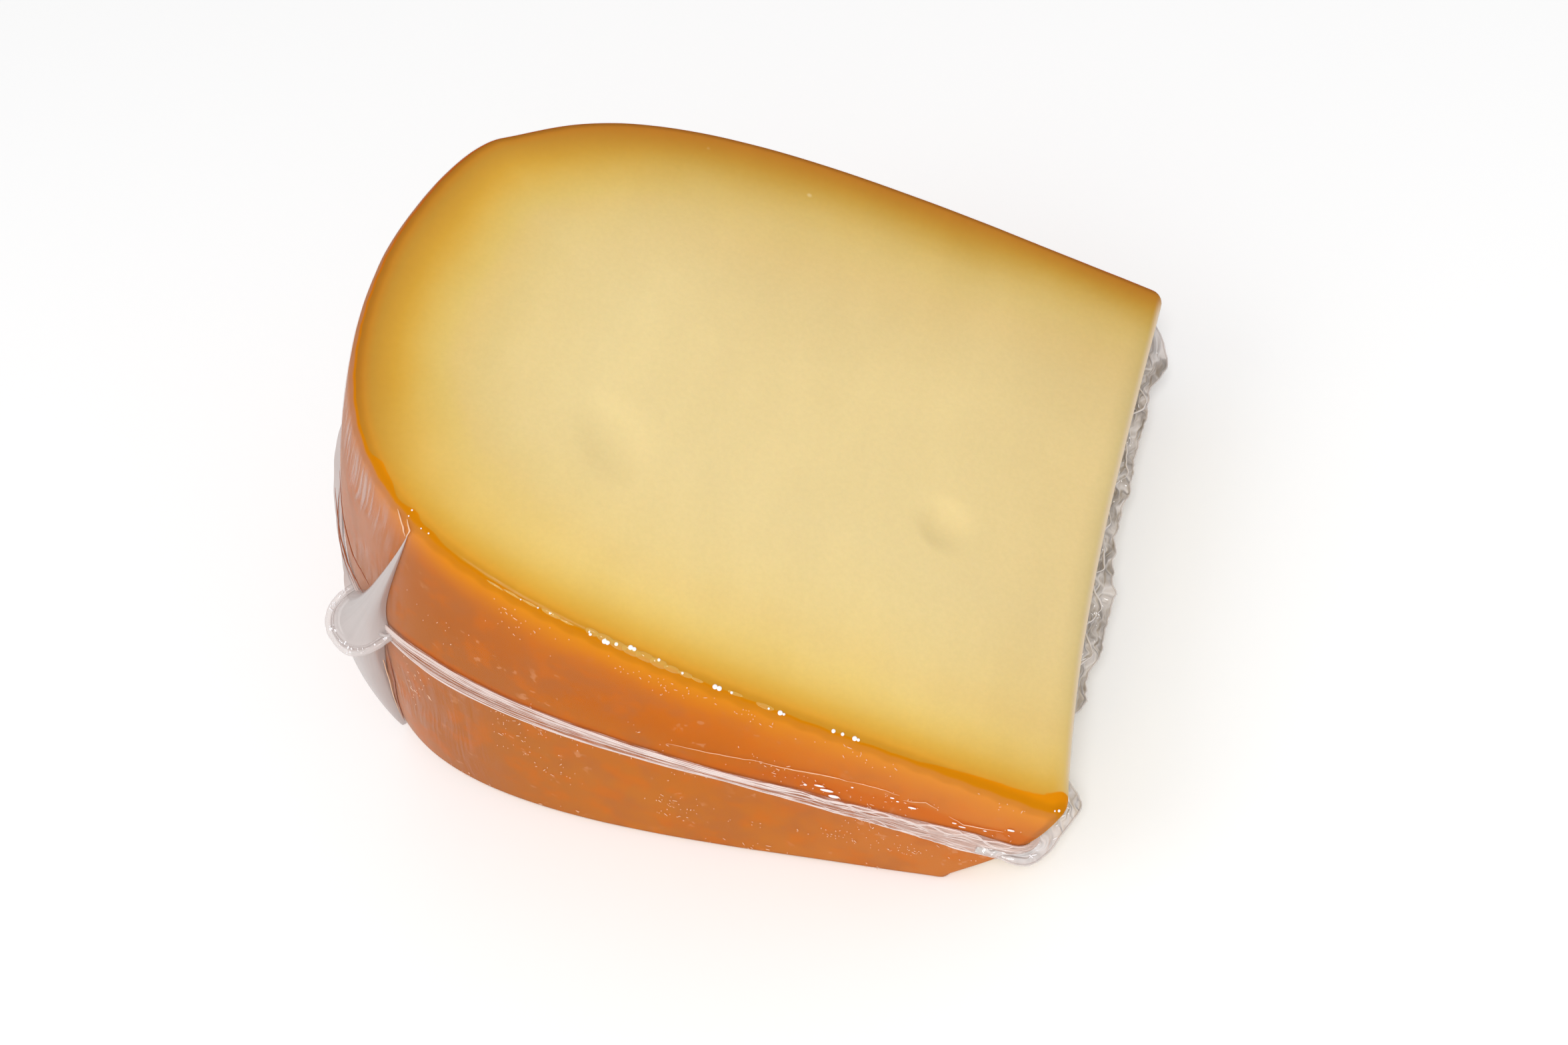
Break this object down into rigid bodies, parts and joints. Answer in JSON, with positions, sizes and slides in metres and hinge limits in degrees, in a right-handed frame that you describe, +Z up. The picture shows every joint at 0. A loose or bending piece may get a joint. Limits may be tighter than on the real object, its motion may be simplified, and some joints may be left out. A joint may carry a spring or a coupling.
{
  "type": "cheese wedge",
  "caption": "Wedge of semi-hard cheese with an orange rind, tip cut off, tight in clear shrink film whose seam runs round it half way up. It lies on one cut face.",
  "frame": {"origin": "on the ground under the middle of the outline", "axes": "+Z up off the cut face it lies on, +X towards the narrow end, the rind's rim at -X, the rind's front face at -Y"},
  "size_m": [0.1398, 0.1194, 0.0843],
  "materials": {
    "cheese": "straw-yellow paste, golden towards an orange rind, under tight glossy film",
    "film": "clear glossy shrink film, milky where it is gathered"
  },
  "bodies": {
    "root": {"cheese": "cheese", "film_seam": "film"}
  },
  "joints": []
}
